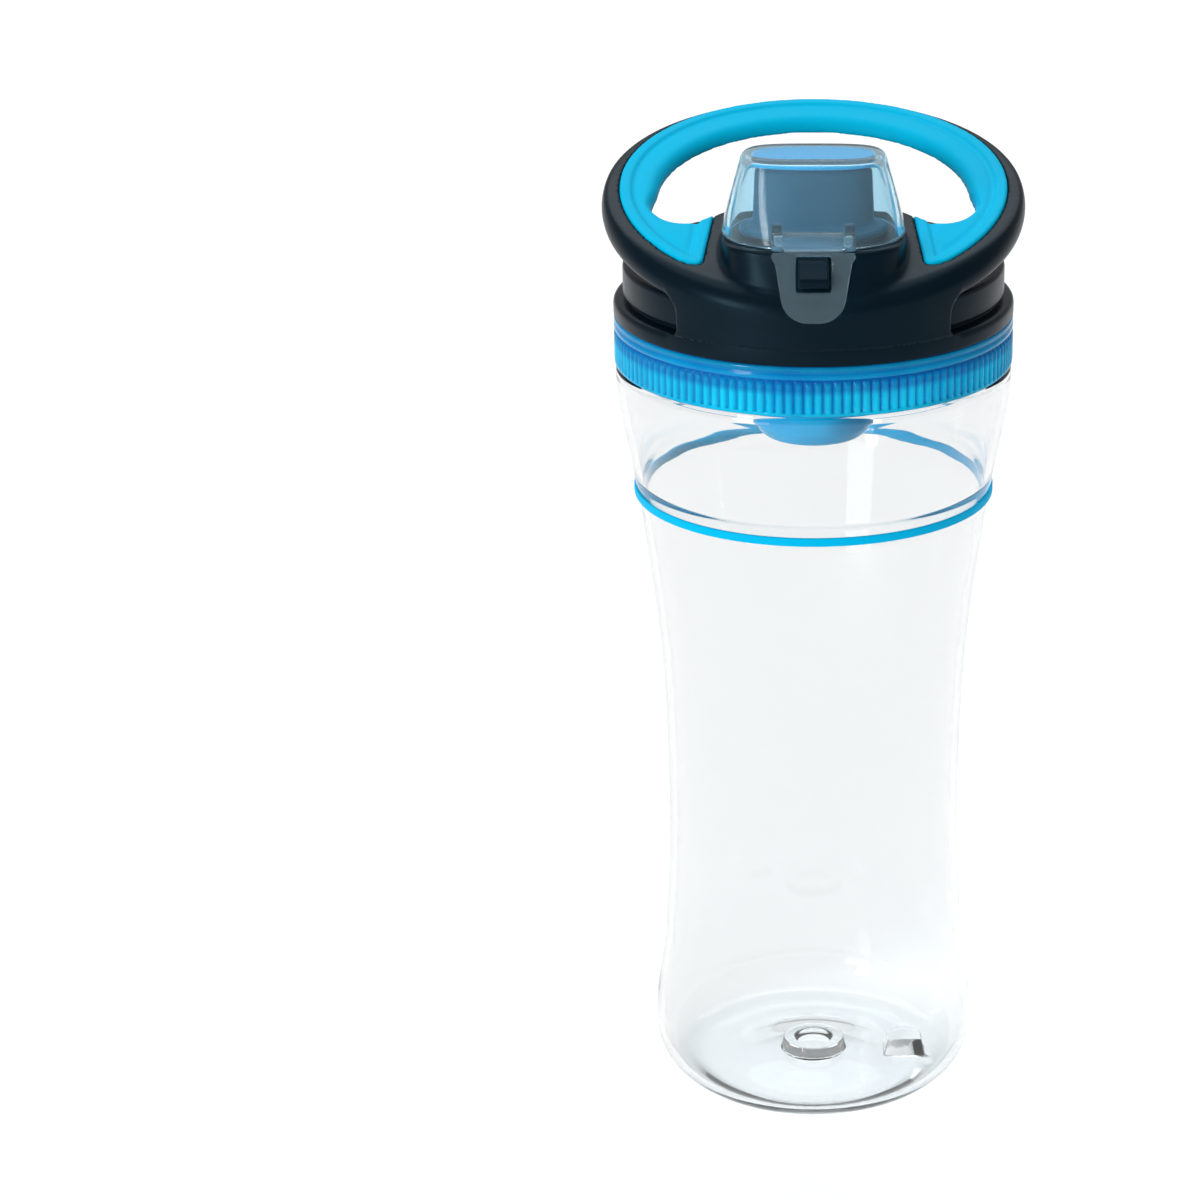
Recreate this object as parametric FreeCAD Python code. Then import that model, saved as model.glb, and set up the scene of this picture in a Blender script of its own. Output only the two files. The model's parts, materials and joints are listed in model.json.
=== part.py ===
import FreeCAD, Part
import math
import os
from FreeCAD import Vector

# Clear drinks bottle with a screw-on lid, a carry loop and a flip-up spout cover.
# Millimetres, +Z up. The origin is the centre of the circle the bottle stands on,
# and the spout faces -Y.

# Bottle
FOOT_R = 22.6
FOOT_WIDTH = 3.0
HEEL_R = 12.6
BULGE_R = 35.2
WALL = 1.6
BASE_LIFT = 1.6
BASE_THICK = 2.0
GATE_R = 7.3
GATE_H = 2.6
GATE_DIMPLE_R = 4.2
KEY_X = 20.5
KEY_WIDTH = 9.0
KEY_H = 2.4

# Outer outline of the bottle wall as (radius, height), between the heel and the shoulder
BODY_OUTLINE = [
    (BULGE_R, HEEL_R), (33.9, 25.5), (32.3, 44.0), (31.7, 66.5), (32.3, 90.0),
    (33.7, 109.5), (35.9, 126.3), (38.1, 139.0), (40.2, 151.5), (41.7, 161.5),
]
SHOULDER_Z = 165.6
SHOULDER_R = 41.7
SHOULDER_ROUND = 1.2
# Inside, the wall turns in to the neck here as (radius, height)
INNER_SHOULDER = (37.8, 162.0)

# Decorative band in its groove
BAND_Z = 138.2
BAND_R = 37.96
BAND_H = 1.8
BAND_DEPTH = 0.7
BAND_PROUD = 0.25

# Neck and its thread
NECK_R = 37.6
NECK_BORE_R = 35.6
NECK_TOP = 173.2
THREAD_PITCH = 3.2
THREAD_DEPTH = 1.3
THREAD_ROOT = 1.2
THREAD_CREST = 0.6
THREAD_TURNS = 1.4
THREAD_Z = 167.4
EMBED = 0.3

# Screw collar
COLLAR_R = 42.0
COLLAR_BORE_R = 39.4
COLLAR_BOTTOM = 166.1
LID_Z = 176.7
INNER_DECK = 1.7
CUP_R = 12.3
CUP_BORE_R = 10.85
CUP_END_R = 10.5
CUP_TAPER_Z = 160.1
CUP_END_Z = 157.3
CUP_FLOOR = 2.0
CUP_HOLE_R = 6.0
GASKET_R = 37.8
GASKET_BORE_R = 35.9

# Lid core: a ledge, a drum and the outer deck
SPOUT_Y = -22.6
LEDGE_TOP = 180.2
LEDGE_ROUND = 1.8
DRUM_R = 39.9
DRUM_GROOVE = 1.0
DECK_Z = 187.5
DECK_THICK = 2.0
CORE_BORE_R = 37.7
VENT_Y = 18.0
VENT_R = 1.5
VALVE_FLAP_R = 4.0
VALVE_FLAP_H = 1.2
VALVE_BULB_R = 2.1
VALVE_BULB_H = 2.0

# Carry loop: its top face is an arched sheet that climbs towards the back
LOOP_X = 44.0
LOOP_Y = 43.0
LOOP_MID_Y = 1.0
LOOP_THICK = 6.5
LOOP_MID_Z = 202.4
LOOP_SLOPE = 0.25
LOOP_ARCH = 1155.0
LOOP_EDGE_TOP = 3.0
LOOP_EDGE_BOTTOM = 2.2
HOLE_R = 32.5
HOLE_FRONT_Y = -7.0
LOBE_X = 26.3
LOBE_Y = -5.9
LOBE_R = 6.3
SKIRT_ANGLE = 41.0
SKIRT_BORE_R = 40.0
SKIRT_R = 41.2
SKIRT_JOIN_Z = 187.8
FIT_GAP = 0.1

# Soft grip on the loop
GRIP_R = 40.3
GRIP_Y = 2.4
GRIP_THICK = 1.2
GRIP_PROUD = 0.3
GRIP_FRONT_Y = -28.0
GRIP_INNER_X = 21.5

# Spout turret
TURRET_X = 18.6
TURRET_Y = 17.3
TURRET_MID_Y = -24.7
TURRET_Z = 199.3
TURRET_LEAN_Z = 190.0
TURRET_LEAN_R = 38.5

# Mouthpiece
SPIGOT_R = 9.9
SPIGOT_BORE_R = 7.5
SPIGOT_END_Z = 164.5
ORING_Z = 168.0
ORING_R = 0.85
FLANGE_X = 15.2
FLANGE_Y = 9.4
FLANGE_H = 1.9
LIP_X = 12.4
LIP_Y = 6.3
LIP_TOP = 213.4
LIP_WALL = 2.4
SPIGOT_HOLE_R = 10.2

# Spout cover and its hinge
COVER_X = 18.7
COVER_Y = 15.2
COVER_RIM_Z = 199.5
COVER_TOP = 216.1
ROOF_X = 16.0
ROOF_Y = 8.2
ROOF_MID_Y = -23.1
COVER_WALL = 1.4
COVER_ROUND = 1.6
HINGE_Y = -6.3
HINGE_Z = 200.6
PIN_R = 1.2
PIN_HALF = 12.3
RUNNING_GAP = 0.05
KNUCKLE_R = 2.3
KNUCKLE_HALF = 8.8
KNUCKLE_ROOM = 0.4
WEB_REACH = 5.0
LUG_R = 2.5
LUG_FROM = 9.2
LUG_TO = 12.6
SEAL_X = 12.2
SEAL_Y = 6.0

# Latch tongue, hung on trunnions between two ears of the cover
LATCH_Y = -40.9
LATCH_Z = 202.3
LATCH_LEAN = 11.0
TONGUE_THICK = 1.6
TONGUE_TOP_X = 8.4
TONGUE_LOW_X = 6.9
TONGUE_END_X = 2.6
TONGUE_TOP = 2.3
TONGUE_END = 16.2
WINDOW_X = 3.5
WINDOW_TOP = 3.0
WINDOW_END = 10.1
TRUNNION_R = 1.0
TRUNNION_HALF = 7.6
TRUNNION_PLAY = 0.3
EAR_R = 2.0
EAR_FROM = 6.1
EAR_TO = 8.4
NECK_X = 5.8

# Snap catch under the tongue's window
CATCH_X = 3.0
CATCH_FRONT = -45.2
CATCH_BACK = -37.0
CATCH_BOTTOM = 193.9
CATCH_TOP = 198.4
CATCH_LEAD_IN = (-41.2, 197.7)

AXIS = Vector(0, 0, 1)
FAR = 60.0


def xz(point):
    return Vector(point[0], 0, point[1])


def line(start, end):
    return Part.LineSegment(xz(start), xz(end)).toShape()


def arc(start, middle, end):
    return Part.Arc(xz(start), xz(middle), xz(end)).toShape()


def chain(points):
    """Straight edges through the points."""
    return [line(a, b) for a, b in zip(points, points[1:])]


def curve(points, start_way, end_way):
    """One smooth edge through the points, leaving and arriving in the given directions."""
    spline = Part.BSplineCurve()
    spline.interpolate(
        Points=[xz(p) for p in points], InitialTangent=xz(start_way), FinalTangent=xz(end_way)
    )
    return spline.toShape()


def turned(edges):
    """Solid of revolution about Z of a closed outline in the XZ plane."""
    return Part.Face(Part.Wire(edges)).revolve(Vector(), AXIS, 360)


def turned_polygon(points):
    return turned(chain(points + points[:1]))


def disc(radius, low, high, x=0.0, y=0.0):
    return Part.makeCylinder(radius, high - low, Vector(x, y, low))


def tube(inner, outer, low, high, x=0.0, y=0.0):
    return disc(outer, low, high, x, y).cut(disc(inner, low, high, x, y))


def block(x, y, z):
    """Box between pairs of coordinates."""
    return Part.makeBox(x[1] - x[0], y[1] - y[0], z[1] - z[0], Vector(x[0], y[0], z[0]))


def rod(radius, x, y, z):
    """Cylinder along X between a pair of coordinates."""
    return Part.makeCylinder(radius, x[1] - x[0], Vector(x[0], y, z), Vector(1, 0, 0))


def oval(x_half, y_half, y_mid, z, power=2.0, points=32):
    """Closed smooth wire of a superellipse; power 2 is an ellipse, more is squarer."""
    if power == 2:
        return Part.Wire(Part.Ellipse(Vector(0, y_mid, z), x_half, y_half).toShape())
    ring = []
    for i in range(points):
        a = 2 * math.pi * i / points
        c, s = math.cos(a), math.sin(a)
        x = x_half * math.copysign(abs(c) ** (2 / power), c)
        y = y_half * math.copysign(abs(s) ** (2 / power), s)
        ring.append(Vector(x, y_mid + y, z))
    spline = Part.BSplineCurve()
    spline.interpolate(Points=ring, PeriodicFlag=True)
    return Part.Wire(spline.toShape())


def oval_prism(x_half, y_half, y_mid, low, high, power=2.0):
    return Part.Face(oval(x_half, y_half, y_mid, low, power)).extrude(Vector(0, 0, high - low))


def prism_yz(points, x_half):
    """Polygon in the YZ plane, drawn out to x_half on both sides."""
    ring = [Vector(-x_half, y, z) for y, z in points]
    return Part.Face(Part.makePolygon(ring + ring[:1])).extrude(Vector(2 * x_half, 0, 0))


def thread(radius, outwards, low):
    """Blunt helical ridge standing on a wall of the given radius."""
    path = Part.makeHelix(THREAD_PITCH, THREAD_PITCH * THREAD_TURNS, radius)
    root = radius - outwards * EMBED
    crest = radius + outwards * THREAD_DEPTH
    corners = [
        (root, -THREAD_ROOT / 2), (crest, -THREAD_CREST / 2),
        (crest, THREAD_CREST / 2), (root, THREAD_ROOT / 2),
    ]
    profile = Part.Wire(chain(corners + corners[:1]))
    ridge = Part.Wire(path.Edges).makePipeShell([profile], True, True)
    ridge.translate(Vector(0, 0, low))
    return ridge


def bottle_wall():
    """Wall, shoulder, neck and raised base in one turned shape."""
    heel_low = HEEL_R * math.sin(math.radians(45))
    outside = BODY_OUTLINE
    inside = [(r - WALL, z) for r, z in BODY_OUTLINE]
    inner_heel = HEEL_R - WALL
    inner_low = inner_heel * math.sin(math.radians(45))
    floor_z = BASE_LIFT + BASE_THICK
    foot_in = FOOT_R - FOOT_WIDTH
    corner = SHOULDER_ROUND * (1 - math.sin(math.radians(45)))
    bore_end = (NECK_BORE_R, SHOULDER_Z - 1.0)
    edges = chain([(0, BASE_LIFT), (foot_in - BASE_LIFT, BASE_LIFT), (foot_in, 0), (FOOT_R, 0)])
    edges.append(arc((FOOT_R, 0), (FOOT_R + heel_low, HEEL_R - heel_low), (BULGE_R, HEEL_R)))
    edges.append(curve(outside, (0, 1), (0, 1)))
    edges += chain([outside[-1], (SHOULDER_R, SHOULDER_Z - SHOULDER_ROUND)])
    edges.append(
        arc(
            (SHOULDER_R, SHOULDER_Z - SHOULDER_ROUND),
            (SHOULDER_R - corner, SHOULDER_Z - corner),
            (SHOULDER_R - SHOULDER_ROUND, SHOULDER_Z),
        )
    )
    edges += chain(
        [(SHOULDER_R - SHOULDER_ROUND, SHOULDER_Z), (NECK_R, SHOULDER_Z), (NECK_R, NECK_TOP),
         (NECK_BORE_R, NECK_TOP), bore_end]
    )
    edges.append(curve([bore_end, INNER_SHOULDER, inside[-2]], (0, -1), (-1, -5)))
    edges.append(curve(inside[-2::-1], (-1, -5), (0, -1)))
    edges.append(
        arc(
            (BULGE_R - WALL, HEEL_R),
            (FOOT_R + inner_low, HEEL_R - inner_low),
            (FOOT_R, HEEL_R - inner_heel),
        )
    )
    edges += chain(
        [(FOOT_R, HEEL_R - inner_heel), (foot_in - BASE_LIFT, floor_z), (0, floor_z), (0, BASE_LIFT)]
    )
    return turned(edges)


def bottle_body():
    body = bottle_wall()
    band = tube(BAND_R - BAND_DEPTH, BAND_R + WALL, BAND_Z - BAND_H / 2, BAND_Z + BAND_H / 2)
    body = body.cut(band)
    floor_z = BASE_LIFT + BASE_THICK
    gate = disc(GATE_R, floor_z - EMBED, floor_z + GATE_H)
    gate = gate.cut(disc(GATE_DIMPLE_R, floor_z + GATE_H / 2, floor_z + GATE_H))
    half = KEY_WIDTH / 2
    key = disc(half, floor_z - BASE_THICK / 2, floor_z + KEY_H, KEY_X).fuse(
        block((KEY_X - half, KEY_X + half), (-half, 0), (floor_z - BASE_THICK / 2, floor_z + KEY_H))
    )
    neck_thread = thread(NECK_R, 1, THREAD_Z)
    return body.fuse([gate, key, neck_thread]).removeSplitter()


def accent_band():
    half = BAND_H / 2
    return tube(BAND_R - BAND_DEPTH, BAND_R + BAND_PROUD, BAND_Z - half, BAND_Z + half)


def collar_gasket():
    return tube(GASKET_BORE_R, GASKET_R, NECK_TOP, LID_Z - INNER_DECK)


def screw_collar():
    """Ring with an inner thread, closed by the inner deck and the cup that feeds the spout."""
    deck_low = LID_Z - INNER_DECK
    ring = tube(COLLAR_BORE_R, COLLAR_R, COLLAR_BOTTOM, LID_Z)
    deck = disc(COLLAR_BORE_R + EMBED, deck_low, LID_Z)
    cup = turned_polygon(
        [(0, LID_Z), (CUP_R, LID_Z), (CUP_R, CUP_TAPER_Z), (CUP_END_R, CUP_END_Z), (0, CUP_END_Z)]
    )
    cup.translate(Vector(0, SPOUT_Y, 0))
    feed = disc(CUP_BORE_R, CUP_END_Z + CUP_FLOOR, LID_Z, 0, SPOUT_Y)
    drain = disc(CUP_HOLE_R, CUP_END_Z, LID_Z, 0, SPOUT_Y)
    inner_thread = thread(COLLAR_BORE_R, -1, THREAD_Z + THREAD_PITCH / 2)
    vent = disc(VENT_R, deck_low, LID_Z, 0, VENT_Y)
    collar = ring.fuse([deck, cup, inner_thread])
    return collar.cut([feed, drain, vent]).removeSplitter()


def vent_valve():
    """Silicone umbrella valve: flap under the inner deck, stem through it, bulb on top."""
    deck_low = LID_Z - INNER_DECK
    stem_r = VENT_R - FIT_GAP
    flap_low, bulb_top = deck_low - VALVE_FLAP_H, LID_Z + VALVE_BULB_H
    valve = turned_polygon(
        [(0, flap_low), (VALVE_FLAP_R / 2, flap_low), (VALVE_FLAP_R, deck_low - VALVE_FLAP_H / 3),
         (VALVE_FLAP_R, deck_low), (stem_r, deck_low), (stem_r, LID_Z), (VALVE_BULB_R, LID_Z),
         (0.6 * VALVE_BULB_R, bulb_top), (0, bulb_top)]
    )
    valve.translate(Vector(0, VENT_Y, 0))
    return valve


def lid_core():
    """Ledge and drum under the loop, closed by the outer deck."""
    round_mid = LEDGE_ROUND * (1 - math.sin(math.radians(45)))
    edges = chain([(CORE_BORE_R, LID_Z), (COLLAR_R, LID_Z), (COLLAR_R, LEDGE_TOP - LEDGE_ROUND)])
    edges.append(
        arc(
            (COLLAR_R, LEDGE_TOP - LEDGE_ROUND),
            (COLLAR_R - round_mid, LEDGE_TOP - round_mid),
            (COLLAR_R - LEDGE_ROUND, LEDGE_TOP),
        )
    )
    groove_r = DRUM_R - DRUM_GROOVE
    edges += chain(
        [(COLLAR_R - LEDGE_ROUND, LEDGE_TOP), (groove_r, LEDGE_TOP), (groove_r, LEDGE_TOP + DRUM_GROOVE),
         (DRUM_R, LEDGE_TOP + DRUM_GROOVE), (DRUM_R, DECK_Z), (0, DECK_Z), (0, DECK_Z - DECK_THICK),
         (CORE_BORE_R, DECK_Z - DECK_THICK), (CORE_BORE_R, LID_Z)]
    )
    spout = disc(SPIGOT_HOLE_R, LID_Z, DECK_Z, 0, SPOUT_Y)
    air = disc(VENT_R, LID_Z, DECK_Z, 0, VENT_Y)
    return turned(edges).cut([spout, air])


def loop_height(y):
    return LOOP_MID_Z + LOOP_SLOPE * y - y * y / LOOP_ARCH


def loop_sheet(rise_low, rise_high):
    """Everything between two copies of the loop's top face, shifted up by the two rises."""
    def arch(rise):
        ends = [Vector(-FAR, y, loop_height(y) + rise) for y in (-FAR, 0, FAR)]
        return Part.Arc(*ends).toShape()

    low, high = arch(rise_low), arch(rise_high)
    low_ends = [Vector(-FAR, y, loop_height(y) + rise_low) for y in (-FAR, FAR)]
    high_ends = [Vector(-FAR, y, loop_height(y) + rise_high) for y in (-FAR, FAR)]
    sides = [Part.LineSegment(a, b).toShape() for a, b in zip(low_ends, high_ends)]
    return Part.Face(Part.Wire([low, sides[1], high, sides[0]])).extrude(Vector(2 * FAR, 0, 0))


def loop_hole(grow):
    """Finger hole seen from above, with a lobe each side of the turret, grown by a margin."""
    low, high = DECK_Z + FIT_GAP, LOOP_MID_Z + 2 * LOOP_THICK
    main = disc(HOLE_R + grow, low, high)
    main = main.cut(block((-FAR, FAR), (-FAR, HOLE_FRONT_Y - grow), (low, high)))
    lobes = [disc(LOBE_R + grow, low, high, side * LOBE_X, LOBE_Y) for side in (-1, 1)]
    return main.fuse(lobes)


def grip_region(low, high):
    """Plan of the soft grip: a broad horseshoe with its two ends beside the turret."""
    plan = disc(GRIP_R, low, high, 0, GRIP_Y)
    front = block((-FAR, FAR), (-FAR, GRIP_FRONT_Y), (low, high))
    middle = block((-GRIP_INNER_X, GRIP_INNER_X), (-FAR, 0), (low, high))
    return plan.cut([front, middle])


def handle_grip():
    span = (DECK_Z, LOOP_MID_Z + 2 * LOOP_THICK)
    pad = grip_region(*span).cut(loop_hole(0)).common(loop_sheet(-GRIP_THICK, GRIP_PROUD))
    liner = loop_hole(GRIP_THICK).cut(loop_hole(0)).common(loop_sheet(-LOOP_THICK, 0))
    liner = liner.cut(block((-GRIP_INNER_X, GRIP_INNER_X), (-FAR, 0), span))
    return pad.fuse(liner).removeSplitter()


def loop_slab():
    """Oval plate between two copies of the arched face, rounded along both rims."""
    column = oval_prism(LOOP_X, LOOP_Y, LOOP_MID_Y, LEDGE_TOP, LOOP_MID_Z + 2 * LOOP_THICK)
    slab = column.common(loop_sheet(-LOOP_THICK, 0))
    lower_rim = min(slab.Edges, key=lambda e: e.BoundBox.ZMax if e.BoundBox.XLength > LOOP_X else FAR ** 2)
    slab = slab.makeFillet(LOOP_EDGE_BOTTOM, [lower_rim])
    upper_rim = max(slab.Edges, key=lambda e: e.BoundBox.ZMin if e.BoundBox.XLength > LOOP_X else 0)
    return slab.makeFillet(LOOP_EDGE_TOP, [upper_rim])


def skirt():
    """Front wall that carries the loop, between the ledge and the loop."""
    wall = Part.makeCylinder(
        SKIRT_R, SKIRT_JOIN_Z - LEDGE_TOP, Vector(0, 0, LEDGE_TOP), AXIS, 2 * SKIRT_ANGLE
    )
    wall.rotate(Vector(), AXIS, -90 - SKIRT_ANGLE)
    return wall


def turret():
    """Housing round the spout; its front leans back above the skirt."""
    body = oval_prism(TURRET_X, TURRET_Y, TURRET_MID_Y, DECK_Z, TURRET_Z, 2.3)
    envelope = turned_polygon(
        [(0, DECK_Z), (SKIRT_R, DECK_Z), (SKIRT_R, TURRET_LEAN_Z), (TURRET_LEAN_R, TURRET_Z), (0, TURRET_Z)]
    )
    return body.common(envelope)


def hinge_lugs():
    base_z = TURRET_Z - LUG_R
    lugs = []
    for side in (-1, 1):
        x = sorted((side * LUG_FROM, side * LUG_TO))
        eye = rod(LUG_R, x, HINGE_Y, HINGE_Z)
        root = block(x, (HINGE_Y - LUG_R, HINGE_Y + LUG_R), (base_z, HINGE_Z))
        lugs.append(eye.fuse(root))
    return lugs


def handle_shell():
    """Loop, skirt and turret in one moulding, with the pocket for the grip."""
    drum_room = disc(SKIRT_BORE_R, LID_Z, DECK_Z)
    shell = loop_slab().fuse([skirt(), turret()]).cut(drum_room)
    span = (DECK_Z, LOOP_MID_Z + 2 * LOOP_THICK)
    pocket = grip_region(*span).common(loop_sheet(-GRIP_THICK, LOOP_THICK))
    cover_room = oval_prism(
        COVER_X + WALL / 2, COVER_Y + WALL / 2, SPOUT_Y, TURRET_Z, TURRET_Z + LOOP_THICK, 2.2
    )
    knuckle_room = rod(KNUCKLE_R + KNUCKLE_ROOM, (-LUG_FROM, LUG_FROM), HINGE_Y, HINGE_Z).fuse(
        block(
            (-LUG_FROM, LUG_FROM), (HINGE_Y - 3 * LUG_R, HINGE_Y + 3 * LUG_R),
            (TURRET_Z, TURRET_Z + LOOP_THICK),
        )
    )
    liner_room = loop_hole(GRIP_THICK).cut(
        block((-GRIP_INNER_X, GRIP_INNER_X), (-FAR, HOLE_FRONT_Y), span)
    )
    shell = shell.cut([pocket, liner_room, cover_room])
    shell = shell.fuse(hinge_lugs()).cut(knuckle_room)
    spout = disc(SPIGOT_HOLE_R, DECK_Z, TURRET_Z, 0, SPOUT_Y)
    pin = rod(PIN_R + FIT_GAP / 5, (-LUG_TO, LUG_TO), HINGE_Y, HINGE_Z)
    return shell.cut([spout, pin])


def latch_catch(shell):
    """Sprung nub on the skirt that holds the tongue's window."""
    nub = prism_yz(
        [(CATCH_BACK, CATCH_BOTTOM), (CATCH_FRONT + 0.5, CATCH_BOTTOM), (CATCH_FRONT, CATCH_BOTTOM + 0.5),
         (CATCH_FRONT, CATCH_BOTTOM + 2.2), CATCH_LEAD_IN, (CATCH_BACK, CATCH_TOP)],
        CATCH_X,
    )
    return nub.cut(shell)


def mouthpiece():
    """Oval drinking lip on a flange, with a round spigot that reaches the cup."""
    spigot = disc(SPIGOT_R, SPIGOT_END_Z, TURRET_Z + FLANGE_H, 0, SPOUT_Y)
    flange = oval_prism(FLANGE_X, FLANGE_Y, SPOUT_Y, TURRET_Z, TURRET_Z + FLANGE_H)
    lip_low = TURRET_Z + FLANGE_H / 2
    lip = Part.makeLoft(
        [oval(LIP_X, LIP_Y, SPOUT_Y, lip_low, 2.3), oval(LIP_X - 0.6, LIP_Y - 0.5, SPOUT_Y, LIP_TOP, 2.3)],
        True,
    )
    slot = oval_prism(LIP_X - LIP_WALL, LIP_Y - LIP_WALL, SPOUT_Y, TURRET_Z, LIP_TOP, 2.3)
    bore = disc(SPIGOT_BORE_R, SPIGOT_END_Z, TURRET_Z, 0, SPOUT_Y)
    groove = tube(CUP_BORE_R - 2 * ORING_R, CUP_BORE_R, ORING_Z - 1.1, ORING_Z + 1.1, 0, SPOUT_Y)
    return spigot.fuse([flange, lip]).cut([slot, bore, groove]).removeSplitter()


def mouthpiece_oring():
    ring = Part.makeTorus(CUP_BORE_R - ORING_R, ORING_R)
    ring.translate(Vector(0, SPOUT_Y, ORING_Z))
    return ring


def cover_form(inset, low, high):
    """Solid of the cover's outer form, drawn in by an inset."""
    rim = oval(COVER_X - inset, COVER_Y - inset, SPOUT_Y, low, 2.2)
    roof = oval(ROOF_X - inset, ROOF_Y - inset, ROOF_MID_Y, high, 3.0)
    return Part.makeLoft([rim, roof], True)


def cover_ears():
    ears = []
    for side in (-1, 1):
        x = sorted((side * EAR_FROM, side * EAR_TO))
        eye = rod(EAR_R, x, LATCH_Y, LATCH_Z)
        root = block(x, (LATCH_Y, SPOUT_Y - COVER_Y / 2), (LATCH_Z - EAR_R, LATCH_Z + EAR_R))
        ears.append(eye.fuse(root))
    return ears


def spout_cover():
    """Flip-up dome with two ears at the front and a hinge knuckle at the back."""
    outer = cover_form(0, COVER_RIM_Z, COVER_TOP)
    roof_edges = [e for e in outer.Edges if e.BoundBox.ZMin > COVER_TOP - 0.1]
    outer = outer.makeFillet(COVER_ROUND, roof_edges)
    inner = cover_form(COVER_WALL, COVER_RIM_Z, COVER_TOP - COVER_WALL)
    x = (-KNUCKLE_HALF, KNUCKLE_HALF)
    web = block(x, (HINGE_Y - WEB_REACH, HINGE_Y), (COVER_RIM_Z + 0.3, HINGE_Z + KNUCKLE_R))
    knuckle = rod(KNUCKLE_R, x, HINGE_Y, HINGE_Z)
    cover = outer.fuse(cover_ears() + [web, knuckle]).cut(inner)
    pin = rod(PIN_R + RUNNING_GAP, x, HINGE_Y, HINGE_Z)
    bore_half = TRUNNION_HALF + TRUNNION_PLAY
    trunnions = rod(TRUNNION_R + RUNNING_GAP, (-bore_half, bore_half), LATCH_Y, LATCH_Z)
    return cover.cut([pin, trunnions]).removeSplitter()


def cover_seal():
    return oval_prism(SEAL_X, SEAL_Y, SPOUT_Y, LIP_TOP + FIT_GAP, COVER_TOP - COVER_WALL, 2.3)


def cover_hinge_pin():
    return rod(PIN_R, (-PIN_HALF, PIN_HALF), HINGE_Y, HINGE_Z)


def latch_tongue():
    """Flat tongue with a window, a neck between the ears and moulded trunnions."""
    half = TONGUE_THICK / 2
    taper_z, round_z = -TONGUE_TOP - 2.7, -TONGUE_END + 4.7
    bow_x = TONGUE_END_X + 0.75 * (TONGUE_LOW_X - TONGUE_END_X)
    bow_z = -TONGUE_END + 0.25 * (round_z + TONGUE_END)
    right = [(TONGUE_TOP_X, -TONGUE_TOP), (TONGUE_TOP_X, taper_z), (TONGUE_LOW_X, round_z)]
    left = [(-x, z) for x, z in reversed(right)]
    edges = chain(left + right)
    edges.append(arc((TONGUE_LOW_X, round_z), (bow_x, bow_z), (TONGUE_END_X, -TONGUE_END)))
    edges.append(line((TONGUE_END_X, -TONGUE_END), (-TONGUE_END_X, -TONGUE_END)))
    edges.append(arc((-TONGUE_END_X, -TONGUE_END), (-bow_x, bow_z), (-TONGUE_LOW_X, round_z)))
    plate = Part.Face(Part.Wire(edges)).extrude(Vector(0, TONGUE_THICK, 0))
    plate.translate(Vector(0, -half, 0))
    window = block((-WINDOW_X, WINDOW_X), (-half, half), (-WINDOW_END, -WINDOW_TOP))
    neck = block((-NECK_X, NECK_X), (-half, half), (-TONGUE_TOP - 0.3, 0))
    barrel = rod(EAR_R - FIT_GAP, (-NECK_X, NECK_X), 0, 0)
    trunnions = rod(TRUNNION_R, (-TRUNNION_HALF, TRUNNION_HALF), 0, 0)
    tongue = plate.cut(window).fuse([neck, barrel, trunnions]).removeSplitter()
    tongue.rotate(Vector(), Vector(1, 0, 0), -LATCH_LEAN)
    tongue.translate(Vector(0, LATCH_Y, LATCH_Z))
    return tongue


def main():
    os.makedirs("parts", exist_ok=True)
    shell = handle_shell()
    nodes = {
        "bottle_body": bottle_body(),
        "accent_band": accent_band(),
        "collar_gasket": collar_gasket(),
        "screw_collar": screw_collar(),
        "vent_valve": vent_valve(),
        "lid_core": lid_core(),
        "handle_shell": shell,
        "handle_grip": handle_grip(),
        "latch_catch": latch_catch(shell),
        "mouthpiece": mouthpiece(),
        "mouthpiece_oring": mouthpiece_oring(),
        "spout_cover": spout_cover(),
        "cover_seal": cover_seal(),
        "cover_hinge_pin": cover_hinge_pin(),
        "latch_tongue": latch_tongue(),
    }
    for name, shape in nodes.items():
        box = shape.BoundBox
        print(
            f"{name}: valid {shape.isValid()}, solids {len(shape.Solids)}, volume {shape.Volume:.0f} mm3, "
            f"y {box.YMin:.1f} to {box.YMax:.1f}, z {box.ZMin:.1f} to {box.ZMax:.1f}"
        )
        shape.exportStep(f"parts/{name}.step")


main()
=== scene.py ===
import json
import math

import bpy
import numpy as np
from mathutils import Matrix, Vector


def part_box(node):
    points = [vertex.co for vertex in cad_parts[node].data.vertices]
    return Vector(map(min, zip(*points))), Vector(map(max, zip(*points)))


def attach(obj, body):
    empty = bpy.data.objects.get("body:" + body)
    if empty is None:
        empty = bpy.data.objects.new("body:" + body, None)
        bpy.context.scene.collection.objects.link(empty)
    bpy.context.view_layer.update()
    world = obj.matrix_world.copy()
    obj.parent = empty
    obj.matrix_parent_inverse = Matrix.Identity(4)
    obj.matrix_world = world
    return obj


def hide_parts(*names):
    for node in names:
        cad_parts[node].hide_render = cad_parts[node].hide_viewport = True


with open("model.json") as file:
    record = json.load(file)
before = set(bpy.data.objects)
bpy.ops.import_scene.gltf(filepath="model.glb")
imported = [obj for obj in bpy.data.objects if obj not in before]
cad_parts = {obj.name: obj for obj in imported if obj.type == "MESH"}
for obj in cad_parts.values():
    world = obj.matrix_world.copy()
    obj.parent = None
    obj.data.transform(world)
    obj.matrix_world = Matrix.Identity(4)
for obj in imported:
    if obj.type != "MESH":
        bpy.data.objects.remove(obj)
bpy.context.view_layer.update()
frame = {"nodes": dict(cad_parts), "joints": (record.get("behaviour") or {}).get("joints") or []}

# A clear drinking bottle with a screw collar, a carry loop and a flip-up spout cover.
# Shapes are worked out in millimetres in the CAD frame: +Z up, the spout towards -Y.

MM = 0.001


def corners(node):
    """Lowest and highest corner of a CAD node, in millimetres."""
    low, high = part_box(node)
    return np.array(low) / MM, np.array(high) / MM


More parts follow.
